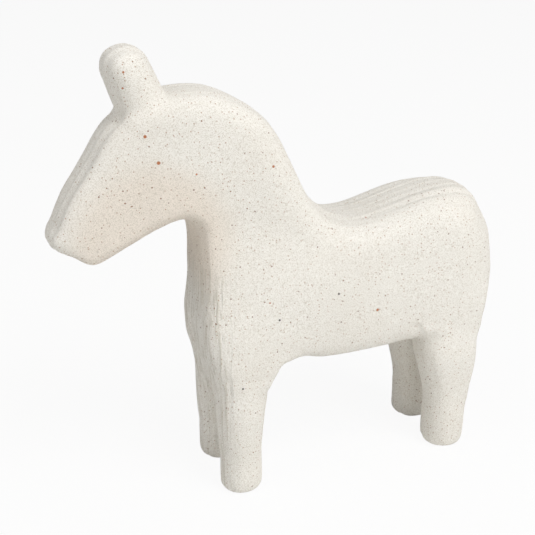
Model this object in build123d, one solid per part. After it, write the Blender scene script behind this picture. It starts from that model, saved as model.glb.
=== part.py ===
from build123d import *
import math
import os

# Hollow stoneware horse, hand built: two half shells for the trunk, two for the neck and head,
# a solid ear and four solid legs, all luted together. Sizes are in millimetres. The head points
# to -X, the animal's left side is -Y, +Z is up, and the origin is under the middle of the figure.

# Driving sizes of the trunk
trunk_length = 141.3
trunk_depth = 68.4
trunk_width = 50.0
belly_height = 60.6
haunch_drop = 9.6
arch_rounding = 14.4
arch_setback = 42.8
arch_drop = 12.6

# Driving sizes of the neck and head
head_reach = 62.5
neck_rise = 62.8
withers_drop = 9.1
muzzle_rounding = 4.0
muzzle_trim = 0.7

# Driving sizes of the ear
ear_rise = 18.6
ear_setback = 29.9
ear_lean = 21.0
ear_tip_depth = 18.4
ear_root_depth = 21.8
ear_width = 25.0
ear_rounding = 8.4
ear_length = 40.0
ear_peg_start = 15.0
ear_peg_end = 26.5

# Driving sizes of the legs
front_leg_setback = 13.5
hind_leg_setback = 21.0
leg_track = 30.4
front_foot_size = 18.8
front_knee_size = 21.2
hind_foot_size = 20.0
hind_knee_size = 26.0
knee_drop = 14.0
foot_rounding = 3.8
leg_gap = 0.8
haunch_size = 24.4
haunch_setback = 2.6
thigh_size = 30.0
thigh_setback = 8.0
thigh_height = 9.0
thigh_inset = 5.0

# Clay thickness, pegs, coils and clearances
wall = 5.0
slip_gap = 0.2
peg_size = 9.0
peg_length = 3.2
coil_width = 8.0
coil_height = 4.0
vent_size = 5.0
vent_setback = 79.0
vent_offset = 9.0
overrun = 30.0

# Places that follow from the driving sizes
muzzle_x = -(head_reach + trunk_length + muzzle_trim) / 2
chest_x = muzzle_x + head_reach
rump_x = chest_x + trunk_length
haunch_height = belly_height - haunch_drop
knee_height = haunch_height - knee_drop
back_z = belly_height + trunk_depth
withers_z = back_z - withers_drop
crest_z = withers_z + neck_rise
top_z = crest_z + ear_rise
half_trunk = trunk_width / 2
leg_y = leg_track / 2

# The body is a fan of stations, each a rounded slab section from an under place to an upper
# place of the side outline. Head and neck places count x forward of the chest in head reaches
# and z above the withers in neck rises. A row holds the under place, the upper place, both half
# widths in half trunk widths and both edge roundings in half trunk widths.
head_station_shares = [
    ((0.730, -0.083), (1.019, 0.100), (0.44, 0.44), (0.20, 0.20)),
    ((0.626, -0.027), (0.917, 0.269), (0.48, 0.48), (0.20, 0.20)),
    ((0.499, 0.043), (0.776, 0.497), (0.52, 0.52), (0.20, 0.22)),
    ((0.365, 0.108), (0.621, 0.731), (0.56, 0.56), (0.22, 0.24)),
    ((0.253, 0.158), (0.432, 0.922), (0.60, 0.60), (0.24, 0.28)),
    ((0.168, 0.183), (0.176, 1.000), (0.63, 0.66), (0.24, 0.32)),
    ((0.102, 0.174), (-0.114, 0.994), (0.65, 0.73), (0.24, 0.36)),
    ((0.043, 0.118), (-0.376, 0.861), (0.67, 0.80), (0.24, 0.38)),
    ((0.013, 0.010), (-0.581, 0.583), (0.69, 0.86), (0.24, 0.40)),
]

# Trunk places count x back from the chest in trunk lengths and z above the belly in trunk depths
trunk_station_shares = [
    ((-0.001, 0.743), (0.326, 1.123), (0.73, 0.90), (0.24, 0.40)),
    ((0.000, 0.596), (0.403, 0.950), (0.78, 0.94), (0.26, 0.40)),
    ((-0.004, 0.436), (0.466, 0.876), (0.83, 0.97), (0.28, 0.40)),
    ((-0.011, 0.260), (0.519, 0.867), (0.90, 0.99), (0.30, 0.40)),
    ((-0.002, 0.056), (0.581, 0.889), (0.97, 1.00), (0.38, 0.42)),
    ((0.016, -0.156), (0.633, 0.917), (1.00, 1.00), (0.50, 0.44)),
    ((0.058, -0.266), (0.679, 0.942), (1.00, 1.00), (0.58, 0.44)),
    ((0.112, -0.266), (0.722, 0.965), (1.00, 1.00), (0.60, 0.44)),
    ((0.145, -0.156), (0.765, 0.980), (1.00, 1.00), (0.58, 0.46)),
    ((0.180, -0.020), (0.807, 0.990), (1.00, 1.00), (0.46, 0.48)),
    ((0.268, 0.006), (0.850, 1.000), (1.00, 1.00), (0.38, 0.52)),
    ((0.389, 0.004), (0.902, 0.987), (1.00, 1.00), (0.36, 0.60)),
    ((0.502, -0.001), (0.938, 0.898), (1.00, 1.00), (0.36, 0.68)),
    ((0.609, 0.006), (0.969, 0.788), (1.00, 1.00), (0.36, 0.72)),
    ((0.701, 0.000), (0.989, 0.642), (1.00, 1.00), (0.36, 0.72)),
    ((0.787, -0.012), (1.000, 0.465), (1.00, 1.00), (0.36, 0.72)),
    ((0.856, -0.019), (0.994, 0.275), (0.98, 0.98), (0.36, 0.68)),
    ((0.904, 0.001), (0.956, 0.118), (0.92, 0.92), (0.20, 0.20)),
]

# How far round each section of the muzzle's rounded end has turned, and its least edge rounding
end_turn_shares = (0, 0.35, 0.65, 1)
end_edge_share = 0.3

# How round each level section of the legs and ear is, as a share of a full round
foot_share = 0.96
knee_share = 0.94
haunch_share = 0.85

# These stations reach down into the front haunches, below the hollow
haunch_stations = (14, 15, 16, 17, 18)

# The neck is luted on along a straight line from the throat to the withers, between these
# stations, and the inner clay edge rounding is this share of the wall
throat_station = 7
withers_station = 10
inner_rounding_share = 0.5


def head_place(share):
    """Side outline point from shares of the head's reach and the neck's rise."""
    return Vector(chest_x - share[0] * head_reach, 0, withers_z + share[1] * neck_rise)


def trunk_place(share):
    """Side outline point from shares of the trunk's length and depth."""
    return Vector(chest_x + share[0] * trunk_length, 0, belly_height + share[1] * trunk_depth)


def stations():
    """Under place, upper place, half widths and roundings of every station, muzzle first."""
    fan = [(head_place(a), head_place(b), w, r) for a, b, w, r in head_station_shares]
    fan += [(trunk_place(a), trunk_place(b), w, r) for a, b, w, r in trunk_station_shares]
    return [(a, b, [w * half_trunk for w in widths], [r * half_trunk for r in rounds])
            for a, b, widths, rounds in fan]


def rounded_end(last, before, rounding):
    """Stations that round off the end of the fan, outermost first, in place of the last one."""
    reach = ((before[0] + before[1] - last[0] - last[1]) * (1 / 2)).length
    across = (last[1] - last[0]).normalized()
    rows = []
    for turn_share in end_turn_shares:
        turn = math.radians(90 * turn_share)
        share = rounding * (1 - math.cos(turn)) / reach
        inset = rounding * (1 - math.sin(turn))
        low = last[0] + (before[0] - last[0]) * share + across * inset
        high = last[1] + (before[1] - last[1]) * share - across * inset
        widths = [w + (b - w) * share - inset for w, b in zip(last[2], before[2])]
        rounds = [max(r - inset, end_edge_share * rounding) for r in last[3]]
        rows.append((low, high, widths, rounds))
    return rows


def inward(places, index, upper):
    """Unit direction into the clay at one place of the under or upper side."""
    before = places[max(index - 1, 0)]
    after = places[min(index + 1, len(places) - 1)]
    along = (after - before).normalized()
    side = Vector(along.Z, 0, -along.X)
    return side if upper else side * -1


def inset_stations(rows, depth):
    """The stations without the first and last, moved into the clay by a depth all round."""
    under = [row[0] for row in rows]
    upper = [row[1] for row in rows]
    inner = []
    for i in range(1, len(rows) - 1):
        low = under[i] + inward(under, i, False) * depth
        high = upper[i] + inward(upper, i, True) * depth
        widths = [w - depth for w in rows[i][2]]
        rounds = [max(r - depth, inner_rounding_share * wall) for r in rows[i][3]]
        inner.append((low, high, widths, rounds))
    return inner


def rounded_quad(corners, radii):
    """Closed section through four corners with an arc at each."""
    arcs = []
    for i, corner in enumerate(corners):
        back = (corners[i - 1] - corner).normalized()
        ahead = (corners[(i + 1) % len(corners)] - corner).normalized()
        half = math.acos(back.dot(ahead)) / 2
        middle = corner + (back + ahead).normalized() * (radii[i] / math.sin(half) - radii[i])
        reach = radii[i] / math.tan(half)
        arcs.append(ThreePointArc(corner + back * reach, middle, corner + ahead * reach))
    edges = []
    for i, arc in enumerate(arcs):
        edges.append(arc)
        edges.append(Line(arc @ 1, arcs[(i + 1) % len(arcs)] @ 0))
    return Face(Wire(edges))


def slab_section(row):
    """The rounded slab section of one station."""
    low, high, (low_half, high_half), (low_round, high_round) = row
    side = Vector(0, 1, 0)
    corners = [low - side * low_half, high - side * high_half,
               high + side * high_half, low + side * low_half]
    return rounded_quad(corners, [low_round, high_round, high_round, low_round])


def body_solid():
    """Trunk, neck and head as one filled form, with the front haunches cut level.

    A round arch runs across behind the front legs, up to the belly.
    """
    fan = stations()
    muzzle = rounded_end(fan[0], fan[1], muzzle_rounding)
    form = loft([slab_section(row) for row in [muzzle[-1]] + fan[1:]])
    form += loft([slab_section(row) for row in muzzle])
    arch = Cylinder(arch_rounding, trunk_width + 2 * overrun, rotation=(90, 0, 0))
    form -= Pos(chest_x + arch_setback, 0, belly_height - arch_drop) * arch
    return form - level_block(haunch_height - overrun, haunch_height)


def hollow(depth, half_width):
    """The filled form over the legs, moved into the clay by a depth.

    A half width makes it a shorter, flat-sided slab instead of following the flanks.
    """
    over_legs = [row for i, row in enumerate(stations()) if i not in haunch_stations]
    rows = inset_stations(over_legs, depth)
    if half_width:
        edge = inner_rounding_share * wall
        rows = [(low, high, [half_width] * 2, [edge] * 2) for low, high, widths, rounds in rows]
        rows = rows[1:-1]
    return loft([slab_section(row) for row in rows], ruled=True)


def level_block(low_z, high_z):
    """A block wider and longer than the figure between two heights."""
    length = rump_x - muzzle_x + 2 * overrun
    block = Box(length, trunk_width + 2 * overrun, high_z - low_z)
    return Pos(0, 0, (low_z + high_z) / 2) * block


def neck_space():
    """The space of the neck and head, over the joint with the trunk and ahead of the chest."""
    rows = stations()
    throat, withers = rows[throat_station][0], rows[withers_station][1]
    along = (withers - throat).normalized()
    joint = Plane(origin=throat, x_dir=along, z_dir=Vector(-along.Z, 0, along.X))
    back_length = (withers - throat).length + wall
    length = back_length + head_reach + overrun
    height = 2 * top_z
    block = Box(length, height, height)
    ahead = Pos(throat.X - length / 2, 0, height / 2) * block
    return ahead + joint * Pos(back_length - length / 2, 0, height / 2) * block


def side_space(sign):
    """A large block on the right side, or the left side where sign is -1."""
    size = 2 * (rump_x - muzzle_x)
    return Pos(0, sign * size / 2, size / 2 - overrun) * Box(size, size, size)


def level_section(x, y, z, size_x, size_y, rounding_share):
    """Level rounded section of a leg."""
    rounding = min(size_x, size_y) / 2 * rounding_share
    return Pos(x, y, z) * RectangleRounded(size_x, size_y, rounding)


def peg(x, y, z, gap):
    """Upright peg through a height, from one wall below it; with a gap, the hole for it."""
    height = wall + peg_length + gap
    return Pos(x, y, z - wall + height / 2) * Cylinder(peg_size / 2 + gap, height)


def leg_form(x, y, foot_size, upper_sections):
    """Leg with a straight, rounded foot below a loft through its upper sections."""
    shank = knee_height / 2
    foot = extrude(level_section(x, y, 0, foot_size, foot_size, foot_share), shank)
    foot = fillet(foot.faces().sort_by(Axis.Z)[0].edges(), foot_rounding)
    ankle = level_section(x, y, shank, foot_size, foot_size, foot_share)
    return foot + loft([ankle] + upper_sections)


def front_leg(sign):
    """Solid front leg that widens to the haunch and is butted under it."""
    haunch_x = chest_x + haunch_setback + haunch_size / 2
    leg_x = chest_x + front_leg_setback
    haunch_side = half_trunk - leg_gap / 2
    haunch_y = sign * (leg_gap / 2 + haunch_side / 2)
    knee_y = sign * leg_y
    form = leg_form(leg_x, knee_y, front_foot_size, [
        level_section(leg_x, knee_y, knee_height, front_knee_size, front_knee_size, knee_share),
        level_section(haunch_x, haunch_y, haunch_height, haunch_size, haunch_side, haunch_share),
    ])
    return form + peg(leg_x, knee_y, haunch_height, 0)


def hind_leg(sign, body):
    """Solid hind leg that widens to the thigh and is coped to the rounded trunk over it."""
    leg_x = rump_x - hind_leg_setback
    thigh_x = rump_x - thigh_setback - thigh_size / 2
    thigh_side = half_trunk - leg_gap
    thigh_y = sign * (leg_gap + thigh_side / 2)
    knee_y = sign * leg_y
    form = leg_form(leg_x, knee_y, hind_foot_size, [
        level_section(leg_x, knee_y, knee_height, hind_knee_size, hind_foot_size, knee_share),
        level_section(thigh_x, thigh_y, belly_height, thigh_size, thigh_side, haunch_share),
        level_section(thigh_x, thigh_y - sign * thigh_inset / 2, belly_height + thigh_height,
                      thigh_size - thigh_inset, thigh_side - thigh_inset, haunch_share),
    ])
    return form - body + peg(leg_x, knee_y, belly_height, 0)


def ear_axis():
    """The ear's tip plane, facing along the ear."""
    lean = math.radians(ear_lean)
    tip_half = ear_tip_depth / 2
    tip_z = top_z - ear_rounding * (1 - math.cos(lean)) - (tip_half - ear_rounding) * math.sin(lean)
    tip = Vector(chest_x - ear_setback, 0, tip_z)
    return Plane(origin=tip, x_dir=Vector(math.cos(lean), 0, math.sin(lean)),
                 z_dir=Vector(-math.sin(lean), 0, math.cos(lean)))


def ear_peg(gap):
    """Peg of the ear along its axis; with a gap, the hole for it."""
    end = ear_peg_end + gap
    middle = (ear_peg_start + end) / 2
    return ear_axis() * Pos(0, 0, -middle) * Cylinder(peg_size / 2 + gap, end - ear_peg_start)


def ear(body):
    """Solid ear, coped to the poll and pegged into it."""
    frame = ear_axis()
    tip = RectangleRounded(ear_tip_depth, ear_width, ear_tip_depth / 2 * foot_share)
    root = RectangleRounded(ear_root_depth, ear_width, ear_root_depth / 2 * foot_share)
    form = loft([frame * Pos(0, 0, -ear_length) * root, frame * tip])
    form = fillet(form.faces().sort_by(Axis.Z)[-1].edges(), ear_rounding)
    return form - body + ear_peg(0)


def peg_holes():
    """The holes for the five pegs, and the firing vent beside the belly seam."""
    front_x = chest_x + front_leg_setback
    hind_x = rump_x - hind_leg_setback
    tools = ear_peg(slip_gap)
    for sign in (-1, 1):
        tools += peg(front_x, sign * leg_y, haunch_height, slip_gap)
        tools += peg(hind_x, sign * leg_y, belly_height, slip_gap)
    vent = Cylinder(vent_size / 2, 4 * wall)
    return tools + Pos(chest_x + vent_setback, -vent_offset, belly_height) * vent


def seam_coil(cavity):
    """The coil of clay pressed along the median seam inside the hollow."""
    strip = Box(2 * (rump_x - muzzle_x), coil_width, 2 * top_z)
    return cavity & (strip - hollow(wall + coil_height, coil_width))


def build():
    """All pieces of the horse by name."""
    body = body_solid()
    cavity = hollow(wall, 0)
    holes = peg_holes()
    shell = body - cavity - holes
    coil = seam_coil(cavity)
    neck = neck_space()
    pieces = {
        "trunk_seam_coil": coil - neck,
        "neck_seam_coil": coil & neck,
        "ear": ear(body),
    }
    for side, sign in (("left", -1), ("right", 1)):
        half = shell & side_space(sign)
        pieces[f"trunk_{side}_shell"] = half - neck
        pieces[f"head_neck_{side}_shell"] = half & neck
        pieces[f"front_{side}_leg"] = front_leg(sign)
        pieces[f"hind_{side}_leg"] = hind_leg(sign, body)
    return pieces


os.makedirs("parts", exist_ok=True)
for name, piece in build().items():
    export_step(Part(piece.solids()[0].wrapped), f"parts/{name}.step")
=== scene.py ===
"""Studio scene of a hand-built stoneware horse.

The horse is made as a potter makes it: the trunk is two half shells, the neck and head two
more, and a stub ear and four round legs are luted on. All of it is first drawn together as one
skin of clay, softened and marked by hand, and then parted along its joints into the pieces.
"""

import logging
import math
from dataclasses import dataclass
from enum import Enum
from typing import Any, Callable, Sequence

import bpy
import numpy as np
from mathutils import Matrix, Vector
from mathutils.kdtree import KDTree


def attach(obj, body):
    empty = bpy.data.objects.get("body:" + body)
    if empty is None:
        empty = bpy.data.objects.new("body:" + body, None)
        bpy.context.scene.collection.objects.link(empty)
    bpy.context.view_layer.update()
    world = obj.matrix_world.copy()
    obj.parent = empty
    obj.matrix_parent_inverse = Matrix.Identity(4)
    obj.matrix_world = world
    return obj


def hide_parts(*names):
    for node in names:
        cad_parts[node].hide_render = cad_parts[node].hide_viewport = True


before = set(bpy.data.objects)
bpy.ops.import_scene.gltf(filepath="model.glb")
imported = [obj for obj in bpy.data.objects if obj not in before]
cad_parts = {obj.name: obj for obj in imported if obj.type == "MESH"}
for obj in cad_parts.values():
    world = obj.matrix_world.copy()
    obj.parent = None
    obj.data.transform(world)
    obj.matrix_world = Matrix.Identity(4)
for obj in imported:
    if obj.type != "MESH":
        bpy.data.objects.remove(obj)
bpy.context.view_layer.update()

log = logging.getLogger("horse")

Colour = tuple[float, float, float, float]
Place = tuple[float, float, float]
Spot = tuple[float, float, float, float]

MM = 0.001
ROOT = "root"
BELLY_HEIGHT = 60.6


class Side(Enum):
    """The animal's own sides, by the sign of Y."""

    LEFT = -1
    RIGHT = 1

    @property
    def word(self) -> str:
        """The side's name in piece and node names."""
        return self.name.lower()


class End(Enum):
    """The ends of the trunk, by their names in piece and node names."""

    FRONT = "front"
    HIND = "hind"


class Axis(Enum):
    """The frame's axes, by their place in a point."""

    ALONG = 0
    ACROSS = 1
    UP = 2


# Shader arithmetic


class Signal:
    """A value in a shader. Arithmetic on numbers adds Math nodes to its graph."""

    def __init__(self, graph: "Graph", socket: bpy.types.NodeSocket | None) -> None:
        """Wraps one output socket.

        Args:
            graph: The graph that owns the socket.
            socket: The output that carries the value.
        """
        self.graph = graph
        self.socket = socket

    def _math(self, operation: str, *values: Any) -> "Signal":
        """Adds one Math node over the given values."""
        inputs = dict(enumerate(values))
        return self.graph.node("ShaderNodeMath", {"operation": operation}, inputs)

    def __add__(self, other: Any) -> "Signal":
        """The sum of two values."""
        return self._math("ADD", self, other)

    def __radd__(self, other: Any) -> "Signal":
        """The sum, with the number first."""
        return self._math("ADD", other, self)

    def __sub__(self, other: Any) -> "Signal":
        """The difference of two values."""
        return self._math("SUBTRACT", self, other)

    def __rsub__(self, other: Any) -> "Signal":
        """The difference, with the number first."""
        return self._math("SUBTRACT", other, self)

    def __mul__(self, other: Any) -> "Signal":
        """The product of two values."""
        return self._math("MULTIPLY", self, other)

    def __rmul__(self, other: Any) -> "Signal":
        """The product, with the number first."""
        return self._math("MULTIPLY", other, self)

    def higher(self, other: Any) -> "Signal":
        """The larger of two values."""
        return self._math("MAXIMUM", self, other)

    def beside(self, output: str) -> "Signal":
        """Another output of the node that this value comes from."""
        return Signal(self.graph, self.socket.node.outputs[output])

    def step(self, low: float, high: float) -> "Signal":
        """A smooth step of the value.

        Args:
            low: Where the result is 0.
            high: Where the result is 1; below low, the step falls instead.

        Returns:
            A value from 0 to 1.
        """
        ends = {1: min(low, high), 2: max(low, high), 3: float(low > high), 4: float(low < high)}
        settings = {"interpolation_type": "SMOOTHSTEP"}
        return self.graph.node("ShaderNodeMapRange", settings, {0: self, **ends})


class Graph:
    """One material's node tree, built by calls instead of by hand."""

    solid_share: float = 0.6
    thinning: float = 0.02

    def __init__(self, tree: bpy.types.NodeTree) -> None:
        """Clears a node tree and takes it over.

        Args:
            tree: The tree to build in.
        """
        self.tree = tree
        tree.nodes.clear()

    def node(self, kind: str, settings: dict[str, Any] | None = None,
             inputs: dict[int | str, Any] | None = None, output: int | str = 0) -> Signal:
        """Adds a node.

        Args:
            kind: The node's type.
            settings: Its options, set before its inputs.
            inputs: Values or signals, by the input's name or place.
            output: The output to hand back, by name or place.

        Returns:
            The chosen output. A node without outputs hands back an empty signal.
        """
        made = self.tree.nodes.new(kind)
        for name, value in (settings or {}).items():
            setattr(made, name, value)
        for key, value in (inputs or {}).items():
            if isinstance(value, Signal):
                self.tree.links.new(value.socket, made.inputs[key])
            else:
                made.inputs[key].default_value = value
        return Signal(self, made.outputs[output] if made.outputs else None)

    def blend(self, share: Any, first: Any, second: Any) -> Signal:
        """Mixes two colours by a share of the second."""
        settings = {"data_type": "RGBA"}
        return self.node("ShaderNodeMix", settings, {0: share, 6: first, 7: second}, 2)

    def scaled(self, place: Signal, scale: Place, shift: Place = (0.0, 0.0, 0.0)) -> Signal:
        """A place, scaled along each axis and then shifted."""
        inputs = {"Vector": place, "Scale": scale, "Location": shift}
        return self.node("ShaderNodeMapping", None, inputs)

    def coordinate(self, place: Signal, axis: Axis) -> Signal:
        """One coordinate of a place."""
        return self.node("ShaderNodeSeparateXYZ", None, {0: place}, axis.value)

    def noise(self, place: Signal, per_mm: float, detail: float = 2.0,
              roughness: float = 0.5) -> Signal:
        """Fractal noise from 0 to 1, with its scale per millimetre."""
        inputs = {"Vector": place, "Scale": per_mm, "Detail": detail, "Roughness": roughness}
        return self.node("ShaderNodeTexNoise", None, inputs, "Fac")

    def specks(self, place: Signal, spacing: float, radius: float, kept: float) -> Signal:
        """Round specks scattered through the clay.

        Args:
            place: The position in millimetres.
            spacing: The mean distance between specks before thinning, in millimetres.
            radius: Their largest radius, in millimetres.
            kept: The share of them that is kept.

        Returns:
            1 inside a speck, 0 outside.
        """
        inputs = {"Vector": place, "Scale": 1.0 / spacing}
        cells = self.node("ShaderNodeTexVoronoi", {"feature": "F1"}, inputs, "Distance")
        chance = self.node("ShaderNodeSeparateColor", None, {0: cells.beside("Color")})
        spread = radius / spacing
        speck = cells.step(spread, self.solid_share * spread)
        return speck * chance.step(kept + self.thinning, kept - self.thinning)

    def spot(self, place: Signal, spot: Spot, flatness: float = 0.35) -> Signal:
        """One round spot that looks much the same a few millimetres deeper in the clay.

        Args:
            place: The position in millimetres.
            spot: The spot's place and radius, in millimetres.
            flatness: How much of the distance across the horse counts.

        Returns:
            1 inside the spot, 0 outside.
        """
        along, across, up, radius = spot
        centred = self.scaled(place, (1.0, flatness, 1.0), (-along, -flatness * across, -up))
        length = self.node("ShaderNodeVectorMath", {"operation": "LENGTH"}, {0: centred}, "Value")
        return length.step(radius, self.solid_share * radius)


def rgb(red: int, green: int, blue: int) -> Colour:
    """Turns a colour as seen on a screen into the linear one that shaders use.

    Args:
        red: The screen's red, from 0 to 255.
        green: Its green.
        blue: Its blue.

    Returns:
        The linear colour, opaque.
    """
    def linear(value: int) -> float:
        """The linear share of one channel."""
        share = value / 255
        return share / 12.92 if share <= 0.04045 else ((share + 0.055) / 1.055) ** 2.4

    return linear(red), linear(green), linear(blue), 1.0


# Finishes


@dataclass(frozen=True)
class ClayFinish:
    """What the clay finishes share. Each one gives its own colour, relief and roughness."""

    name: str
    gloss: float

    def material(self) -> bpy.types.Material:
        """Builds the finish.

        Returns:
            The material.
        """
        made = bpy.data.materials.new(self.name)
        made.use_nodes = True
        graph = Graph(made.node_tree)
        on_piece = graph.node("ShaderNodeTexCoord", output="Object")
        place = graph.scaled(on_piece, (1 / MM, 1 / MM, 1 / MM))
        relief = self._relief(graph, place)
        bump = graph.node("ShaderNodeBump", None, {
            "Strength": 1.0, "Distance": MM, "Height": relief})
        shader = graph.node("ShaderNodeBsdfPrincipled", None, {
            "Base Color": self._colour(graph, place), "Roughness": self._roughness(graph, place),
            "Normal": bump, "Specular IOR Level": self.gloss})
        graph.node("ShaderNodeOutputMaterial", None, {"Surface": shader})
        return made

    def _colour(self, graph: Graph, place: Signal) -> Signal:
        """The clay's colour.

        Args:
            graph: The material's graph.
            place: The position in millimetres.

        Returns:
            The colour.
        """
        raise NotImplementedError

    def _relief(self, graph: Graph, place: Signal) -> Signal:
        """The fine relief of the surface.

        Args:
            graph: The material's graph.
            place: The position in millimetres.

        Returns:
            The height in millimetres.
        """
        raise NotImplementedError

    def _roughness(self, graph: Graph, place: Signal) -> Signal:
        """How dry the clay looks.

        Args:
            graph: The material's graph.
            place: The position in millimetres.

        Returns:
            The roughness.
        """
        raise NotImplementedError


@dataclass(frozen=True)
class Grit:
    """One kind of grit in the clay, with its larger spots. Sizes in mm."""

    colour: Colour
    cover: float
    spacing: float
    radius: float
    kept: float
    spots: tuple[Spot, ...] = ()

    def mask(self, graph: Graph, place: Signal) -> Signal:
        """Scatters the grit.

        Args:
            graph: The material's graph.
            place: The position in millimetres.

        Returns:
            How far the grit's colour covers the clay, from 0 to 1.
        """
        grit = graph.specks(place, self.spacing, self.radius, self.kept)
        for spot in self.spots:
            grit = grit.higher(graph.spot(place, spot))
        return grit * self.cover


@dataclass(frozen=True)
class StonewareFinish(ClayFinish):
    """Matt off-white stoneware with sand and iron specks, scraped by hand. Sizes in mm."""

    name: str = "speckled_stoneware"
    gloss: float = 0.28
    clay: Colour = rgb(247, 244, 237)
    shade: Colour = rgb(240, 234, 224)
    shade_cover: float = 0.3
    # A warm tint of the clay together with painted shade, darker under the jaw and at the throat
    blush_and_shade: Colour = rgb(238, 224, 209)
    blush_and_shade_cover: float = 0.6
    blush_and_shade_spot: Spot = (-62.0, 0.0, 124.0, 40.0)
    # Painted shade in the scraper strokes on the chest
    groove_shade: Colour = rgb(208, 202, 188)
    groove_shade_cover: float = 0.55
    sand: Colour = rgb(196, 187, 171)
    sand_cover: float = 0.68
    grits: tuple[Grit, ...] = (
        Grit(rgb(170, 132, 100), cover=0.85, spacing=1.6, radius=0.32, kept=0.6),
        Grit(rgb(130, 84, 56), cover=0.95, spacing=3.5, radius=0.4, kept=0.6),
        Grit(rgb(178, 108, 62), cover=0.95, spacing=17.0, radius=0.6, kept=0.25, spots=(
            (-63.5, -15.4, 168.6, 0.9), (-58.8, -15.6, 157.8, 0.9), (-12.2, -19.9, 152.6, 0.7),
            (36.0, -24.9, 82.6, 0.8), (35.8, -9.9, 121.0, 0.8), (-70.0, -12.2, 193.4, 0.55),
            (-70.4, -11.5, 187.2, 0.5), (-43.9, -16.9, 152.0, 0.5))),
        Grit(rgb(58, 50, 45), cover=0.95, spacing=14.0, radius=0.5, kept=0.4, spots=(
            (-28.2, -24.8, 55.7, 0.6), (-11.0, -24.4, 85.5, 0.6), (16.5, -25.0, 93.6, 0.6))))
    grain_depth: float = 0.13
    scrape_depth: float = 0.34
    head_scrape_share: float = 0.4
    broad_mark: float = 2.4
    narrow_mark: float = 0.9
    stroke_depth: float = 1.1
    roughness: float = 0.74
    roughness_range: float = 0.16

    def _colour(self, graph: Graph, place: Signal) -> Signal:
        """The clay's colour with its tints, its sand and its specks of iron, with painted shade:
        warmer and darker under the jaw and at the throat, and darker in the scraper strokes on the
        chest.
        """
        tone = graph.noise(place, per_mm=0.03, detail=3.0).step(0.35, 0.7)
        colour = graph.blend(tone * self.shade_cover, self.clay, self.shade)
        # Warm tint with painted shade: the jaw and the throat are painted warmer and darker
        blush_and_shade_share = graph.spot(place, self.blush_and_shade_spot)
        colour = graph.blend(blush_and_shade_share * self.blush_and_shade_cover, colour, self.blush_and_shade)
        # Painted shade: the scraper strokes on the chest are painted darker along their grooves
        strokes = self._chest_strokes(graph, place).step(0.46, 0.62)
        colour = graph.blend(strokes * self.groove_shade_cover, colour, self.groove_shade)
        sand = graph.noise(place, per_mm=2.6, detail=2.0, roughness=0.6).step(0.45, 0.65)
        colour = graph.blend(sand * self.sand_cover, colour, self.sand)
        for grit in self.grits:
            colour = graph.blend(grit.mask(graph, place), colour, grit.colour)
        return colour

    def _relief(self, graph: Graph, place: Signal) -> Signal:
        """Sand grain, scrape marks lengthwise on the narrow sides, and strokes on the chest."""
        grain = graph.noise(place, per_mm=2.0, detail=3.0, roughness=0.65)
        pits = graph.specks(place, spacing=2.6, radius=0.4, kept=0.35)
        lengthwise = graph.scaled(place, (0.05, 1.0, 0.05))
        broad = graph.noise(lengthwise, per_mm=0.28, detail=1.0)
        narrow = graph.noise(lengthwise, per_mm=0.8, detail=2.0, roughness=0.6)
        behind_head = graph.coordinate(place, Axis.ALONG).step(-80, -56)
        share = self.head_scrape_share + (1 - self.head_scrape_share) * behind_head
        marks = broad * self.broad_mark + narrow * self.narrow_mark
        scraped = marks * (share * self.scrape_depth)
        strokes = self._chest_strokes(graph, place) * self.stroke_depth
        return (grain - pits) * self.grain_depth + scraped + strokes

    def _roughness(self, graph: Graph, place: Signal) -> Signal:
        """Dry clay, a little smoother in patches."""
        return self.roughness + self.roughness_range * graph.noise(place, per_mm=0.12)

    @staticmethod
    def _chest_strokes(graph: Graph, place: Signal) -> Signal:
        """Fine upright strokes of the scraper on the chest and the front of the flanks.

        Args:
            graph: The material's graph.
            place: The position in millimetres.

        Returns:
            The strokes, from 0 to 1.
        """
        along = graph.coordinate(place, Axis.ALONG)
        up = graph.coordinate(place, Axis.UP)
        upright = graph.scaled(place, (1.0, 1.0, 0.04))
        strokes = graph.noise(upright, per_mm=0.75, detail=2.0, roughness=0.6)
        return strokes * along.step(-22, -38) * along.step(-62, -52) * up.step(122, 106)


@dataclass(frozen=True)
class RawClayFinish(ClayFinish):
    """The unsmoothed clay of the coils inside. Sizes in mm."""

    name: str = "raw_coil_clay"
    gloss: float = 0.2
    clay: Colour = rgb(214, 205, 188)
    sand: Colour = rgb(150, 136, 116)
    sand_cover: float = 0.5
    finger_depth: float = 0.9
    grain_depth: float = 0.12
    roughness: float = 0.85
    roughness_range: float = 0.1

    def _colour(self, graph: Graph, place: Signal) -> Signal:
        """The clay's colour with coarse sand."""
        return graph.blend(self._sand(graph, place) * self.sand_cover, self.clay, self.sand)

    def _relief(self, graph: Graph, place: Signal) -> Signal:
        """Dents of the fingers, and grain."""
        fingers = graph.noise(place, per_mm=0.16, detail=2.0)
        grain = graph.noise(place, per_mm=1.6, detail=2.0)
        return fingers * self.finger_depth + grain * self.grain_depth

    def _roughness(self, graph: Graph, place: Signal) -> Signal:
        """Dry clay, rougher where the sand shows."""
        return self.roughness + self.roughness_range * self._sand(graph, place)

    @staticmethod
    def _sand(graph: Graph, place: Signal) -> Signal:
        """Where the sand shows, from 0 to 1."""
        return graph.noise(place, per_mm=1.1, detail=3.0, roughness=0.6).step(0.5, 0.66)


# The few moves that all pieces are made with


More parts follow.
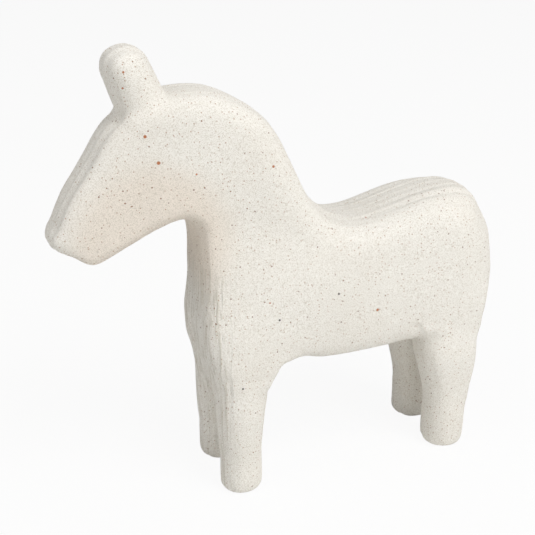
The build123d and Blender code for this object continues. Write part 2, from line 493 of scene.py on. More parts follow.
class Bench:
    """Selecting, joining, cutting and finishing, as at a potter's bench."""

    merge_distance: float = 0.002
    weight_levels: int = 40
    smooth_angle: float = 50.0

    @staticmethod
    def clear() -> None:
        """Deselects everything."""
        bpy.ops.object.select_all(action="DESELECT")

    @classmethod
    def take(cls, piece: bpy.types.Object, *others: bpy.types.Object) -> None:
        """Selects a piece, and others with it, and nothing else.

        Args:
            piece: The piece, which becomes the active one.
            others: What is selected with it.
        """
        cls.clear()
        for obj in (piece, *others):
            obj.select_set(True)
        bpy.context.view_layer.objects.active = piece

    @staticmethod
    def add(name: str, data: bpy.types.ID) -> bpy.types.Object:
        """Puts a mesh, a lamp or a camera into the scene as a new object."""
        made = bpy.data.objects.new(name, data)
        bpy.context.scene.collection.objects.link(made)
        return made

    @classmethod
    def copy(cls, mesh: bpy.types.Mesh, name: str) -> bpy.types.Object:
        """Puts a copy of a mesh on the bench as a new object."""
        made = cls.add(name, mesh.copy())
        made.data.name = name
        return made

    @classmethod
    def join(cls, parts: Sequence[bpy.types.Object], name: str) -> bpy.types.Object:
        """Joins objects into one and merges their doubled points.

        Args:
            parts: The objects; the first one takes in the others.
            name: The joined object's name.

        Returns:
            The joined object.
        """
        cls.take(*parts)
        bpy.ops.object.join()
        whole = bpy.context.view_layer.objects.active
        whole.name = name
        bpy.ops.object.mode_set(mode="EDIT")
        bpy.ops.mesh.select_all(action="SELECT")
        bpy.ops.mesh.remove_doubles(threshold=cls.merge_distance * MM)
        bpy.ops.object.mode_set(mode="OBJECT")
        return whole

    @classmethod
    def apply(cls, piece: bpy.types.Object, kind: str, **settings: Any) -> None:
        """Adds a modifier to a piece and applies it.

        Args:
            piece: The piece.
            kind: The modifier's type.
            settings: Its settings by name.
        """
        cls.take(piece)
        modifier = piece.modifiers.new(kind.lower(), kind)
        for name, value in settings.items():
            setattr(modifier, name, value)
        bpy.ops.object.modifier_apply(modifier=modifier.name)

    @classmethod
    def rub(cls, piece: bpy.types.Object, turns: int, group: str = "") -> None:
        """Rubs a piece smooth, or a region of it by its vertex group."""
        cls.apply(piece, "SMOOTH", factor=0.5, iterations=turns, vertex_group=group)

    @classmethod
    def remesh(cls, piece: bpy.types.Object, grain: float) -> None:
        """Makes a piece one closed skin with an even grain, in mm."""
        cls.apply(piece, "REMESH", mode="VOXEL", voxel_size=grain * MM, adaptivity=0.0)

    @classmethod
    def part(cls, piece: bpy.types.Object, point: Vector, normal: Vector) -> None:
        """Cuts a piece with a wire, closes the cut and keeps what lies behind it.

        Args:
            piece: The piece.
            point: A point on the cut.
            normal: The cut's direction, towards what falls away.
        """
        cls.take(piece)
        bpy.ops.object.mode_set(mode="EDIT")
        bpy.ops.mesh.select_all(action="SELECT")
        bpy.ops.mesh.bisect(plane_co=point, plane_no=normal, use_fill=True, clear_outer=True)
        bpy.ops.object.mode_set(mode="OBJECT")

    @classmethod
    def take_away(cls, piece: bpy.types.Object, tool: bpy.types.Object) -> None:
        """Takes the shape of a tool out of a piece and puts the tool aside."""
        cls.apply(piece, "BOOLEAN", operation="DIFFERENCE", object=tool, solver="EXACT")
        bpy.data.objects.remove(tool)

    @classmethod
    def carve(cls, piece: bpy.types.Object, low: Vector, high: Vector) -> None:
        """Carves a block of clay away.

        Args:
            piece: The piece.
            low: The block's lowest corner, in mm.
            high: Its highest corner, in mm.
        """
        cls.clear()
        bpy.ops.mesh.primitive_cube_add(
            size=1, location=(low + high) / 2 * MM, scale=(high - low) * MM)
        block = bpy.context.object
        bpy.ops.object.transform_apply(location=True, rotation=True, scale=True)
        cls.take_away(piece, block)

    @classmethod
    def weigh(cls, piece: bpy.types.Object, name: str,
              share: Callable[[np.ndarray], np.ndarray]) -> str:
        """Marks a region of a piece as a vertex group.

        Args:
            piece: The piece.
            name: The group's name.
            share: Gives each point's weight from 0 to 1, from the points in millimetres.

        Returns:
            The group's name.
        """
        weights = np.clip(share(cls.points(piece)), 0.0, 1.0)
        group = piece.vertex_groups.new(name=name)
        levels = np.round(weights * cls.weight_levels).astype(int)
        for level in range(1, cls.weight_levels + 1):
            members = np.nonzero(levels == level)[0].tolist()
            group.add(members, level / cls.weight_levels, "REPLACE")
        return name

    @staticmethod
    def points(piece: bpy.types.Object) -> np.ndarray:
        """A piece's points, in millimetres."""
        places = np.empty(len(piece.data.vertices) * 3)
        piece.data.vertices.foreach_get("co", places)
        return places.reshape(-1, 3) / MM

    @staticmethod
    def normals(piece: bpy.types.Object) -> np.ndarray:
        """A piece's outward directions, one for each point."""
        ways = np.empty(len(piece.data.vertices) * 3)
        piece.data.vertex_normals.foreach_get("vector", ways)
        return ways.reshape(-1, 3)

    @staticmethod
    def put(piece: bpy.types.Object, points: np.ndarray) -> None:
        """Moves a piece's points, given in millimetres."""
        piece.data.vertices.foreach_set("co", (points * MM).ravel())
        piece.data.update()

    @classmethod
    def finish(cls, piece: bpy.types.Object, node: str, material: bpy.types.Material) -> None:
        """Names a piece, dresses it and hands it to the frame.

        Args:
            piece: The finished mesh.
            node: The CAD node that it stands for.
            material: Its finish.
        """
        name = node + "_clay"
        piece.name = name
        piece.data.name = name
        piece.vertex_groups.clear()
        piece.data.materials.clear()
        piece.data.materials.append(material)
        cls.take(piece)
        bpy.ops.object.shade_smooth_by_angle(angle=math.radians(cls.smooth_angle))
        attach(piece, ROOT)
        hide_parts(node)
        log.info("%s: %d faces", name, len(piece.data.polygons))


def near(values: np.ndarray, centre: float | np.ndarray, reach: float) -> np.ndarray:
    """A soft bump around a value: 1 at its centre, 0 beyond its reach."""
    share = np.clip(1 - np.abs(values - centre) / reach, 0, 1)
    return share * share * (3 - 2 * share)


def rise(values: np.ndarray, start: float, full: float) -> np.ndarray:
    """A soft step of values, from 0 at start to 1 at full, which may lie below start."""
    share = np.clip((values - start) / (full - start), 0, 1)
    return share * share * (3 - 2 * share)


@dataclass(frozen=True)
class Zone:
    """A region of the horse with soft borders.

    Each border gives its axis, where the region starts to count and where it counts in full,
    in mm.
    """

    borders: tuple[tuple[Axis, float, float], ...]

    def share(self, points: np.ndarray) -> np.ndarray:
        """How much each point belongs to the region.

        Args:
            points: The points in millimetres.

        Returns:
            One share for each point, from 0 to 1.
        """
        share = np.ones(len(points))
        for axis, start, full in self.borders:
            share = share * rise(points[:, axis.value], start, full)
        return share


# The skin of clay


@dataclass(frozen=True)
class Press:
    """A soft hollow pressed along a line with a finger, or a swelling where it is negative.

    Sizes in mm. The line is given along the horse and up. Nothing is pressed nearer to the
    median seam than inner; where that is minus the fade, the press runs across the seam.
    """

    path: tuple[tuple[float, float], ...]
    width: float
    depth: float
    inner: float = 0.0
    fade: float = 4.0

    def depths(self, points: np.ndarray) -> np.ndarray:
        """How deep each point is pressed.

        Args:
            points: The points in millimetres.

        Returns:
            One depth for each point.
        """
        side = points[:, [Axis.ALONG.value, Axis.UP.value]]
        distance = np.full(len(points), np.inf)
        for start, end in zip(self.path, self.path[1:]):
            first = np.array(start)
            along = np.array(end) - first
            share = np.clip((side - first) @ along / (along @ along), 0, 1)
            beside = np.linalg.norm(side - first - share[:, None] * along, axis=1)
            distance = np.minimum(distance, beside)
        outer = rise(np.abs(points[:, Axis.ACROSS.value]), self.inner, self.inner + self.fade)
        return self.depth * near(distance, 0, self.width) * outer


@dataclass(frozen=True)
class Crown:
    """How the flanks roll over into the crest, the back and the rump. Sizes in mm."""

    flat_half: float = 15.0
    rump_flat_half: float = 4.0
    flank_half: float = 25.2
    back_reach: float = 9.0
    rump_reach: float = 18.0
    outline_half: float = 0.8
    belly_flat_half: float = 20.0
    belly_reach: float = 17.0
    sag: float = 2.1
    sag_reach: float = 36.0
    head_flat_half: float = 7.0
    head_half: float = 15.6
    head_reach: float = 9.0
    head_sag: float = 2.4
    dome: float = 1.9
    dome_half: float = 31.0
    upper: Zone = Zone(((Axis.ALONG, -50, -34), (Axis.UP, 76, 92)))
    head: Zone = Zone(((Axis.ALONG, -54, -66), (Axis.UP, 100, 110), (Axis.UP, 178, 168)))
    rump: Zone = Zone(((Axis.ALONG, 58, 90),))
    chest: Zone = Zone(((Axis.ALONG, -26, -36), (Axis.UP, 58, 70), (Axis.UP, 122, 110)))
    belly: Zone = Zone(((Axis.ALONG, -14, 4), (Axis.ALONG, 66, 50), (Axis.UP, 96, 90)))
    domed: Zone = Zone(((Axis.ALONG, 10, 30), (Axis.UP, 76, 92)))

    def roll(self, points: np.ndarray) -> np.ndarray:
        """Brings the points near the outline in towards the median seam.

        Args:
            points: The skin's points in millimetres.

        Returns:
            The moved points.
        """
        upper, head = self.upper.share(points), self.head.share(points)
        across = np.abs(points[:, Axis.ACROSS.value])
        middle = (across < self.outline_half) & (upper + head > 0)
        distance = self._distances(points, points[middle])
        rump = self.rump.share(points)
        reach = self.back_reach + (self.rump_reach - self.back_reach) * rump
        flat = self.flat_half + (self.rump_flat_half - self.flat_half) * rump
        across = self._rolled(across, distance, flat, self.flank_half, reach, upper)
        across = self._rolled(across, distance, self.head_flat_half, self.head_half,
                              self.head_reach, self.head_sag * head)
        across = self._rolled(across, distance, self.flat_half, self.flank_half,
                              self.back_reach, self.chest.share(points))
        above_belly = points[:, Axis.UP.value] - BELLY_HEIGHT
        across = self._rolled(across, above_belly, self.belly_flat_half, self.flank_half,
                              self.belly_reach, self.belly.share(points))
        moved = points.copy()
        moved[:, Axis.ACROSS.value] = np.sign(points[:, Axis.ACROSS.value]) * across
        return moved

    @staticmethod
    def _distances(points: np.ndarray, outline: np.ndarray) -> np.ndarray:
        """How far each point is from the outline, as seen from the side.

        Args:
            points: The points in millimetres.
            outline: The outline's points.

        Returns:
            One distance for each point.
        """
        tree = KDTree(len(outline))
        for number, (along, _, up) in enumerate(outline):
            tree.insert((along, 0, up), number)
        tree.balance()
        return np.array([tree.find((along, 0, up))[2] for along, _, up in points])

    def _rolled(self, across: np.ndarray, distance: np.ndarray, flat: np.ndarray | float,
                half: float, reach: np.ndarray | float, weight: np.ndarray) -> np.ndarray:
        """Rounds one edge of the flank and lets the flank sag a little towards it.

        Args:
            across: Each point's distance from the median seam.
            distance: Its distance from the edge's outline.
            flat: The half width that stays flat at the outline.
            half: The half width of the flank.
            reach: How far in the rounding reaches.
            weight: How much each point sags; up to 1, it is also the share of the rounding.

        Returns:
            The new distances from the median seam.
        """
        edge = np.clip(1 - distance / reach, 0, 1)
        limit = flat + (half - flat) * np.sqrt(1 - edge ** 2)
        wide = np.clip(1 - distance / self.sag_reach, 0, 1)
        inward = np.minimum(weight, 1) * np.maximum(across - limit, 0)
        return across - inward - weight * self.sag * (wide * across / self.flank_half) ** 2

    def lifts(self, points: np.ndarray, normals: np.ndarray) -> np.ndarray:
        """How far the back and rump are drawn out into a low dome.

        Args:
            points: The points in millimetres.
            normals: Their outward directions.

        Returns:
            One height for each point.
        """
        middle = near(points[:, Axis.ACROSS.value], 0, self.dome_half)
        narrow = rise(np.abs(normals[:, Axis.ACROSS.value]), 0.9, 0.2)
        return self.dome * self.domed.share(points) * middle * narrow


@dataclass(frozen=True)
class Scrape:
    """A shallow groove that a scraper leaves along the horse's narrow sides. Sizes in mm."""

    across: float
    width: float
    depth: float
    wander: float = 0.8
    wander_along: float = 19.0
    wander_up: float = 23.0
    front_end: float = -200.0
    rear_end: float = 200.0
    fade: float = 8.0

    def depths(self, points: np.ndarray, normals: np.ndarray) -> np.ndarray:
        """How deep each point is scraped.

        Args:
            points: The points in millimetres.
            normals: Their outward directions.

        Returns:
            One depth for each point.
        """
        along, across, up = points.T
        sway = np.sin(along / self.wander_along + up / self.wander_up + self.across)
        centre = self.across + self.wander * sway
        place = (rise(along, self.front_end, self.front_end + self.fade)
                 * rise(along, self.rear_end, self.rear_end - self.fade))
        narrow = rise(np.abs(normals[:, Axis.ACROSS.value]), 0.7, 0.3)
        return self.depth * near(across, centre, self.width) * narrow * place


@dataclass(frozen=True)
class Lump:
    """A lump of soft clay pressed into a joint, on each side of the horse. Sizes in mm."""

    centre: Place
    reach: Place

    def build(self, side: Side) -> bpy.types.Object:
        """Rolls the lump of one side.

        Args:
            side: The side.

        Returns:
            The lump.
        """
        along, across, up = self.centre
        Bench.clear()
        bpy.ops.mesh.primitive_uv_sphere_add(
            segments=32, ring_count=16, radius=MM, scale=self.reach,
            location=Vector((along, across * side.value, up)) * MM)
        return bpy.context.object


@dataclass(frozen=True)
class Vent:
    """The hole in the left half of the belly that lets the steam out in the kiln. Sizes in mm.

    The solids' own hole is plugged before the skin is drawn, and bored again through its wall.
    """

    along: float = 39.25
    across: float = -9.0
    size: float = 5.0
    bore_height: float = 62.0
    bore_length: float = 20.0
    bore_facets: int = 32
    plug_size: float = 7.0
    plug_length: float = 12.0
    plug_overlap: float = 0.4
    plug_facets: int = 24

    def plug(self) -> bpy.types.Object:
        """Makes the plug."""
        height = BELLY_HEIGHT + self.plug_length / 2 - self.plug_overlap
        return self._rod(self.plug_size, self.plug_length, height, self.plug_facets)

    def bore(self, trunk: bpy.types.Object) -> None:
        """Bores the hole into the hollow trunk."""
        drill = self._rod(self.size, self.bore_length, self.bore_height, self.bore_facets)
        Bench.take_away(trunk, drill)

    def _rod(self, size: float, length: float, height: float, facets: int) -> bpy.types.Object:
        """Makes an upright rod in the vent's place.

        Args:
            size: Its diameter.
            length: Its length.
            height: The height of its middle.
            facets: How many sides it has.

        Returns:
            The rod.
        """
        Bench.clear()
        bpy.ops.mesh.primitive_cylinder_add(
            vertices=facets, radius=size / 2 * MM, depth=length * MM,
            location=Vector((self.along, self.across, height)) * MM)
        return bpy.context.object


@dataclass
class ClaySkin:
    """The whole outside of the horse as one closed skin, before it is parted. Sizes in mm.

    The spared rounds are the throat, the withers and the arch behind the front legs, each with
    its place along, its height and its reach. The belts are where the front and the hind legs
    meet the trunk, each with its height, its reach and its zone.
    """

    vent: Vent
    grain: float = 0.8
    arch_x: float = 3.05
    arch_height: float = 48.0
    arch_rounding: float = 14.4
    arch_flare: float = 3.2
    flare_start: float = 17.5
    flare_depth: float = 7.5
    flare_facets: int = 128
    rub_turns: int = 12
    round_turns: int = 70
    broad_turns: int = 320
    crease_turns: int = 90
    regain: float = 0.95
    palm_size: float = 24.0
    palm_depth: float = 0.6
    thumb_size: float = 8.0
    thumb_depth: float = 0.24
    mark_middle: float = 0.55
    swelling: float = 0.25
    lumps: tuple[Lump, ...] = (
        Lump((80.3, 16.8, 63.5), (16.6, 8.6, 11.0)),
        Lump((-25.5, 16.0, 51.0), (11.5, 8.8, 8.5)))
    presses: tuple[Press, ...] = (
        Press(((54.5, 70.9), (63.9, 71.8), (74.8, 68.8)), width=5.0, depth=0.35, inner=14),
        Press(((57.8, 68.8), (61.6, 59.9)), width=4.0, depth=0.8, inner=12),
        Press(((-34.0, 59.0), (-16.0, 58.0)), width=4.0, depth=0.35, inner=12),
        Press(((-48.0, 133.0), (-41.0, 126.5)), width=4.5, depth=0.6, inner=9),
        Press(((-79.0, 172.0), (-73.0, 174.5)), width=4.0, depth=0.7),
        Press(((-54.5, 181.5), (-59.5, 195.0)), width=7.0, depth=0.3, inner=-4),
        Press(((-72.5, 178.0), (-76.0, 193.0)), width=6.0, depth=0.6, inner=-4),
        Press(((-89.0, 116.0), (-79.5, 121.5), (-60.0, 130.5)), width=8.0, depth=-0.6, inner=-4),
        Press(((-76.8, 195.0), (-70.0, 200.5)), width=8.0, depth=-0.6, inner=-4),
        Press(((10.0, 60.0), (44.0, 60.6)), width=13.0, depth=-0.6, inner=-4),
        Press(((-43.0, 84.0), (-43.5, 106.0)), width=14.0, depth=-0.9, inner=-4),
        Press(((-80.0, 168.0), (-101.0, 124.0)), width=11.0, depth=-0.6, inner=-4),
        Press(((100.5, 92.0), (101.0, 104.0)), width=17.0, depth=-1.0, inner=-4),
        Press(((82.0, 137.0), (94.0, 128.0), (99.5, 118.0)), width=12.0, depth=0.8, inner=-4),
        Press(((-20.0, 124.0), (0.0, 122.0), (14.0, 126.0)), width=24.0, depth=1.3, inner=5))
    scrapes: tuple[Scrape, ...] = (
        Scrape(-11.5, 2.8, 0.44, front_end=-52.0),
        Scrape(-6.2, 3.2, 0.30, front_end=-56.0),
        Scrape(-1.0, 2.6, 0.24),
        Scrape(4.5, 3.2, 0.34, front_end=-56.0),
        Scrape(10.5, 2.6, 0.34, front_end=-52.0),
        Scrape(-6.8, 3.6, 0.85, wander=0.5, rear_end=-54.0),
        Scrape(6.6, 3.6, 0.45, wander=0.5, rear_end=-54.0))
    crown: Crown = Crown()
    edges: Zone = Zone(((Axis.UP, 12, 44), (Axis.UP, 200, 188), (Axis.ALONG, -101, -84)))
    broad: Zone = Zone(((Axis.ALONG, -54, -34), (Axis.UP, 64, 80)))
    spared: tuple[Place, ...] = ((-44, 126, 22), (20, 129, 14), (3, 48, 34))
    belts: tuple[tuple[float, float, Zone], ...] = (
        (52, 16, Zone(((Axis.ALONG, 22, 8),))), (60, 16, Zone(((Axis.ALONG, 40, 50),))))
    nodes: tuple[str, ...] = (
        "trunk_left_shell", "trunk_right_shell", "head_neck_left_shell",
        "head_neck_right_shell", "ear", "front_left_leg", "front_right_leg", "hind_left_leg",
        "hind_right_leg")

    def build(self) -> bpy.types.Object:
        """Fuses, softens and marks the skin.

        Returns:
            The skin, one closed mesh.
        """
        skin = self._fuse()
        self._soften(skin)
        self._work_by_hand(skin)
        log.info("skin: %d points", len(skin.data.vertices))
        return skin

    def _fuse(self) -> bpy.types.Object:
        """Draws the pieces together into one closed skin.

        Returns:
            The skin, still with sharp edges.
        """
        parts = [Bench.copy(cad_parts[name].data, name + "_clay") for name in self.nodes]
        parts.append(self.vent.plug())
        parts += [lump.build(side) for lump in self.lumps for side in Side]
        skin = Bench.join(parts, "clay_skin")
        Bench.remesh(skin, self.grain)
        Bench.take_away(skin, self._flares())
        Bench.put(skin, self.crown.roll(Bench.points(skin)))
        Bench.remesh(skin, self.grain)
        return skin

    def _flares(self) -> bpy.types.Object:
        """Makes the two cones that widen the arch behind the front legs towards the flanks.

        Returns:
            The cones as one object.
        """
        cones = []
        for side in Side:
            Bench.clear()
            across = side.value * (self.flare_start + self.flare_depth)
            bpy.ops.mesh.primitive_cone_add(
                vertices=self.flare_facets, radius1=self.arch_rounding * MM,
                radius2=(self.arch_rounding + 2 * self.arch_flare) * MM,
                depth=2 * self.flare_depth * MM,
                location=Vector((self.arch_x, across, self.arch_height)) * MM,
                rotation=(-side.value * math.pi / 2, 0, 0))
            cones.append(bpy.context.object)
        return Bench.join(cones, "flares")

    def _soften(self, skin: bpy.types.Object) -> None:
        """Rubs the skin smooth: most on the body's edges and where the legs are luted on."""
        Bench.rub(skin, self.rub_turns)
        Bench.rub(skin, self.crease_turns, Bench.weigh(skin, "creases", self._creases))
        self._round(skin, Bench.weigh(skin, "edges", self.edges.share), self.round_turns)
        self._round(skin, Bench.weigh(skin, "broad", self._broad), self.broad_turns)

    def _round(self, skin: bpy.types.Object, group: str, turns: int) -> None:
        """Rounds a region and gives back the size that the rubbing takes away.

        Args:
            skin: The skin.
            group: The region's vertex group.
            turns: How often it is rubbed.
        """
        Bench.rub(skin, turns, group)
        once = Bench.points(skin)
        Bench.rub(skin, turns, group)
        Bench.put(skin, once + self.regain * (once - Bench.points(skin)))

    def _broad(self, points: np.ndarray) -> np.ndarray:
        """The crest, back, rump and flanks, without the spared rounds.

        Args:
            points: The points in millimetres.

        Returns:
            One share for each point, from 0 to 1.
        """
        along, _, up = points.T
        kept = [near(np.hypot(along - x, up - z), 0, reach) for x, z, reach in self.spared]
        return self.broad.share(points) * (1 - np.maximum.reduce(kept))

    def _creases(self, points: np.ndarray) -> np.ndarray:
        """The belts where the legs meet the trunk.

        Args:
            points: The points in millimetres.

        Returns:
            One share for each point, from 0 to 1.
        """
        up = points[:, Axis.UP.value]
        belts = [near(up, height, reach) * zone.share(points) for height, reach, zone in self.belts]
        return np.maximum.reduce(belts)

    def _work_by_hand(self, skin: bpy.types.Object) -> None:
        """Presses the hollows of the fingers and gives the skin its slow unevenness."""
        points, normals = Bench.points(skin), Bench.normals(skin)
        depths = sum(press.depths(points) for press in self.presses)
        depths = depths - self.crown.lifts(points, normals) - self.swelling
        depths = depths + sum(scrape.depths(points, normals) for scrape in self.scrapes)
        Bench.put(skin, points - depths[:, None] * normals)
        self._mark(skin, "palm", self.palm_size, self.palm_depth)
        self._mark(skin, "thumb", self.thumb_size, self.thumb_depth)

    def _mark(self, skin: bpy.types.Object, name: str, size: float, depth: float) -> None:
        """Leaves soft marks all over the skin.

        Args:
            skin: The skin.
            name: The texture's name.
            size: The marks' size.
            depth: Their depth.
        """
        texture = bpy.data.textures.new(name, "CLOUDS")
        texture.noise_scale = size * MM
        texture.noise_depth = 1
        Bench.apply(skin, "DISPLACE", texture=texture, texture_coords="LOCAL",
                    strength=depth * MM, mid_level=self.mark_middle)


# The joints


@dataclass
class Cut:
    """A flat joint through the clay. Sizes in mm."""

    point: Place
    normal: Place

    def keep_behind(self, piece: bpy.types.Object) -> None:
        """Keeps what the joint's normal points away from."""
        Bench.part(piece, Vector(self.point) * MM, Vector(self.normal))

    def keep_ahead(self, piece: bpy.types.Object) -> None:
        """Keeps what the joint's normal points to."""
        Bench.part(piece, Vector(self.point) * MM, -Vector(self.normal))


@dataclass
class Joints:
    """Where the horse is parted. Sizes in mm."""

    haunch_height: float = 51.0
    thigh_height: float = 59.0
    middle_x: float = 20.0
    throat_x: float = -42.4
    jaw_height: float = 113.0
    neck_height: float = 126.4
    neck_end: float = 22.2
    ear_root: Place = (-64.0, 0.0, 178.4)
    ear_lean: float = 21.0
    ear_depth: float = 6.0
    space_floor: float = 66.0
    reach: float = 300.0

    def keep_side(self, piece: bpy.types.Object, side: Side) -> None:
        """Parts a piece along the median seam and keeps one side.

        Args:
            piece: The piece.
            side: The side that is kept.
        """
        median = Cut((0, 0, 0), (0, 1, 0))
        if side is Side.LEFT:
            median.keep_behind(piece)
        else:
            median.keep_ahead(piece)

    def keep_leg(self, piece: bpy.types.Object, end: End) -> None:
        """Parts the legs of one end from the trunk and from the other legs.

        Args:
            piece: The piece.
            end: The end whose legs are kept.
        """
        middle = Cut((self.middle_x, 0, 0), (1, 0, 0))
        if end is End.FRONT:
            Cut((0, 0, self.haunch_height), (0, 0, 1)).keep_behind(piece)
            middle.keep_behind(piece)
        else:
            Cut((0, 0, self.thigh_height), (0, 0, 1)).keep_behind(piece)
            middle.keep_ahead(piece)

    def ear(self) -> Cut:
        """The joint under the ear, facing up along it."""
        lean = math.radians(self.ear_lean)
        return Cut(self.ear_root, (-math.sin(lean), 0, math.cos(lean)))

    def leave_space(self, space: bpy.types.Object) -> None:
        """Keeps the hollow inside out of the legs and the ear."""
        Cut((0, 0, self.space_floor), (0, 0, -1)).keep_behind(space)
        below_ear = Vector(self.ear_root) - Vector(self.ear().normal) * self.ear_depth
        Cut(tuple(below_ear), self.ear().normal).keep_behind(space)

    def leave_trunk(self, piece: bpy.types.Object) -> None:
        """Carves away all but the trunk: the neck and head, and the legs."""
        self._carve(piece, -self.reach, self.neck_end, self.neck_height, self.reach)
        self._carve(piece, -self.reach, self.throat_x, self.jaw_height, self.reach)
        self._carve(piece, -self.reach, self.middle_x, -self.reach, self.haunch_height)
        self._carve(piece, self.middle_x, self.reach, -self.reach, self.thigh_height)

    def leave_neck(self, piece: bpy.types.Object) -> None:
        """Carves away all but the neck and head: the trunk with its legs, and the ear."""
        self._carve(piece, -self.reach, self.throat_x, -self.reach, self.jaw_height)
        self._carve(piece, self.throat_x, self.neck_end, -self.reach, self.neck_height)
        self._carve(piece, self.neck_end, self.reach, -self.reach, self.reach)
        self.ear().keep_behind(piece)

    def _carve(self, piece: bpy.types.Object, front: float, rear: float, low: float,
               high: float) -> None:
        """Carves away all clay between two places along the horse and two heights.

        Args:
            piece: The piece.
            front: The place nearer to the head.
            rear: The place nearer to the rump.
            low: The lower height.
            high: The upper height.
        """
        Bench.carve(piece, Vector((front, -self.reach, low)), Vector((rear, self.reach, high)))


# Pieces


@dataclass
class Legs:
    """Four solid legs, luted under the trunk."""

    skin: bpy.types.Mesh
    joints: Joints
    finish: bpy.types.Material

    def build(self) -> None:
        """Parts the four legs from the skin."""
        for end in End:
            for side in Side:
                self._leg(end, side)

    def _leg(self, end: End, side: Side) -> None:
        """Parts one leg from the skin.

        Args:
            end: Its end of the trunk.
            side: Its side.
        """
        node = f"{end.value}_{side.word}_leg"
        leg = Bench.copy(self.skin, node)
        self.joints.keep_leg(leg, end)
        self.joints.keep_side(leg, side)
        Bench.finish(leg, node, self.finish)


@dataclass
class Ear:
    """The stub ear."""

    skin: bpy.types.Mesh
    joints: Joints
    finish: bpy.types.Material

    def build(self) -> None:
        """Parts the ear from the skin."""
        ear = Bench.copy(self.skin, "ear_stub")
        self.joints.ear().keep_ahead(ear)
        Bench.finish(ear, "ear", self.finish)


@dataclass
class Shells:
    """Two half shells of the neck and head, and two of the trunk. Sizes in mm."""

    skin: bpy.types.Mesh
    joints: Joints
    vent: Vent
    finish: bpy.types.Material
    wall: float = 4.6
    inner_grain: float = 2.0
    inner_turns: int = 6

    def build(self) -> None:
        """Parts the four half shells from the hollowed skin."""
        hollow = self._hollow()
        neck = Bench.copy(hollow.data, "head_neck")
        self.joints.leave_neck(neck)
        self._halve(neck, "head_neck")
        trunk = Bench.copy(hollow.data, "trunk")
        self.joints.leave_trunk(trunk)
        self.vent.bore(trunk)
        self._halve(trunk, "trunk")
        bpy.data.objects.remove(hollow)

    def _hollow(self) -> bpy.types.Object:
        """Gives the skin its inner wall.

        Returns:
            The skin with the hollow inside, all faces outwards from the clay.
        """
        space = Bench.copy(self.skin, "space")
        Bench.apply(space, "DISPLACE", strength=-self.wall * MM, mid_level=0.0)
        Bench.remesh(space, self.inner_grain)
        Bench.rub(space, self.inner_turns)
        self.joints.leave_space(space)
        Bench.take(space)
        bpy.ops.object.mode_set(mode="EDIT")
        bpy.ops.mesh.select_all(action="SELECT")
        bpy.ops.mesh.flip_normals()
        bpy.ops.object.mode_set(mode="OBJECT")
        return Bench.join([Bench.copy(self.skin, "outside"), space], "hollow_skin")

    def _halve(self, whole: bpy.types.Object, region: str) -> None:
        """Parts a hollow piece into its left and right shells.

        Args:
            whole: The hollow piece.
            region: The part of the horse that it is, as in its nodes' names.
        """
        for side in Side:
            node = f"{region}_{side.word}_shell"
            half = Bench.copy(whole.data, node)
            self.joints.keep_side(half, side)
            Bench.finish(half, node, self.finish)
        bpy.data.objects.remove(whole)


@dataclass
class SeamCoils:
    """The coils pressed along the median seam inside, kept as their solids are."""

    finish: bpy.types.Material
    nodes: tuple[str, str] = ("trunk_seam_coil", "neck_seam_coil")

    def build(self) -> None:
        """Dresses both coils."""
        for name in self.nodes:
            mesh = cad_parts[name].data
            mesh.materials.clear()
            mesh.materials.append(self.finish)
            log.info("%s: dressed", name)


# Studio


@dataclass(frozen=True)
class Stand:
    """A place around the horse, facing it. Sizes in mm, angles in degrees.

    Azimuth 0 is the horse's left side.
    """

    azimuth: float
    elevation: float
    distance: float

    def hold(self, thing: bpy.types.Object, aim: Place) -> None:
        """Puts a lamp or camera here.

        Args:
            thing: The lamp or camera.
            aim: What it is turned to, in mm.
        """
        turn, tilt = math.radians(self.azimuth), math.radians(self.elevation)
        back = Vector((math.sin(turn) * math.cos(tilt), -math.cos(turn) * math.cos(tilt),
                       math.sin(tilt)))
        thing.location = (Vector(aim) + back * self.distance) * MM
        thing.rotation_euler = back.to_track_quat("Z", "Y").to_euler()


@dataclass(frozen=True)
class Lamp:
    """One soft round lamp. Size in mm, power in watts."""

    name: str
    stand: Stand
    size: float
    power: float

    def hang(self, aim: Place) -> None:
        """Hangs the lamp on its stand, out of the camera's sight.

        Args:
            aim: What it lights, in mm.
        """
        data = bpy.data.lights.new(self.name, "AREA")
        data.shape = "DISK"
        data.size = self.size * MM
        data.energy = self.power
        lamp = Bench.add(self.name, data)
        lamp.visible_camera = False
        self.stand.hold(lamp, aim)


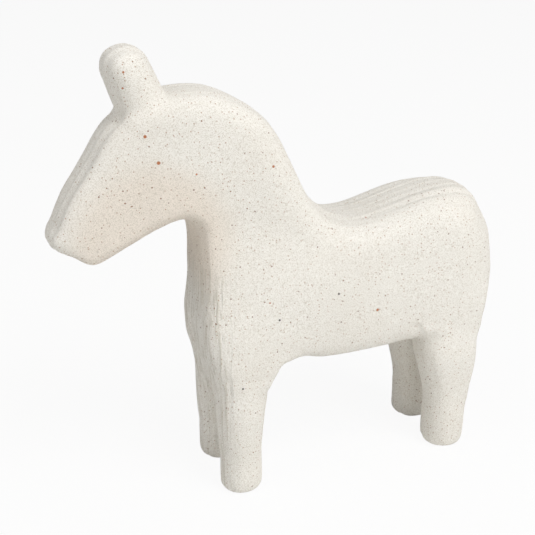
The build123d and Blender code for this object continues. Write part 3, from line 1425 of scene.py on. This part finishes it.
@dataclass
class Studio:
    """A pale floor, soft light and the camera. Sizes in mm."""

    view: Stand = Stand(azimuth=-21.6, elevation=22.35, distance=423.8)
    aim: Place = (-6.96, 0.0, 100.0)
    lens: float = 63.93
    sensor: float = 36.0
    nearest: float = 10.0
    floor_size: float = 6000.0
    floor_colour: Colour = rgb(236, 236, 234)
    floor_white: float = 0.92
    room_light: float = 0.285
    lamps: tuple[Lamp, ...] = (
        Lamp("key", Stand(26, 51, 1400), size=900, power=11.8),
        Lamp("fill", Stand(-75, 42, 1500), size=1200, power=5.0),
        Lamp("low", Stand(28, 9, 1500), size=500, power=2.4),
        Lamp("rim", Stand(165, 48, 1600), size=1200, power=1.0))

    def build(self) -> None:
        """Sets up the camera, the floor, the lamps and the world."""
        self._camera()
        self._floor()
        for lamp in self.lamps:
            lamp.hang(self.aim)
        self._world()
        bpy.context.scene.view_settings.view_transform = "Standard"

    def _camera(self) -> None:
        """Stands the camera where the photograph was taken from."""
        data = bpy.data.cameras.new("camera")
        data.lens = self.lens
        data.sensor_width = self.sensor
        data.clip_start = self.nearest * MM
        camera = Bench.add("camera", data)
        self.view.hold(camera, self.aim)
        bpy.context.scene.camera = camera

    def _floor(self) -> None:
        """Lays the pale floor, which shows near white and keeps the horse's shadow."""
        Bench.clear()
        bpy.ops.mesh.primitive_plane_add(size=self.floor_size * MM, location=(0, 0, 0))
        floor = bpy.context.object
        floor.name = "floor"
        made = bpy.data.materials.new("pale_floor")
        made.use_nodes = True
        graph = Graph(made.node_tree)
        lit = graph.node("ShaderNodeBsdfDiffuse", None, {"Color": self.floor_colour})
        glow = graph.node("ShaderNodeEmission", None, {"Color": (1, 1, 1, 1), "Strength": 1.0})
        white = self._seen(graph) * self.floor_white
        shown = graph.node("ShaderNodeMixShader", None, {0: white, 1: lit, 2: glow})
        graph.node("ShaderNodeOutputMaterial", None, {"Surface": shown})
        floor.data.materials.append(made)

    @staticmethod
    def _seen(graph: Graph) -> Signal:
        """1 for what the camera sees, straight or in a reflection or through glass."""
        rays = graph.node("ShaderNodeLightPath", output="Is Camera Ray")
        glossy = rays.beside("Is Glossy Ray")
        return rays.higher(glossy).higher(rays.beside("Is Transmission Ray"))

    def _world(self) -> None:
        """Gives the soft light of a white room; the camera sees the room as plain white."""
        world = bpy.data.worlds.new("white_room")
        world.use_nodes = True
        graph = Graph(world.node_tree)
        strength = self.room_light + self._seen(graph) * (1 - self.room_light)
        inputs = {"Color": (1, 1, 1, 1), "Strength": strength}
        sky = graph.node("ShaderNodeBackground", None, inputs)
        graph.node("ShaderNodeOutputWorld", None, {"Surface": sky})
        bpy.context.scene.world = world


def main() -> None:
    """Builds the horse and its studio, piece by piece."""
    logging.basicConfig(level=logging.INFO, format="%(name)s %(message)s")
    Studio().build()
    stoneware = StonewareFinish().material()
    vent = Vent()
    skin = ClaySkin(vent).build()
    joints = Joints()
    Legs(skin.data, joints, stoneware).build()
    Ear(skin.data, joints, stoneware).build()
    Shells(skin.data, joints, vent, stoneware).build()
    SeamCoils(RawClayFinish().material()).build()
    bpy.data.objects.remove(skin)


if __name__ == "__main__":
    main()
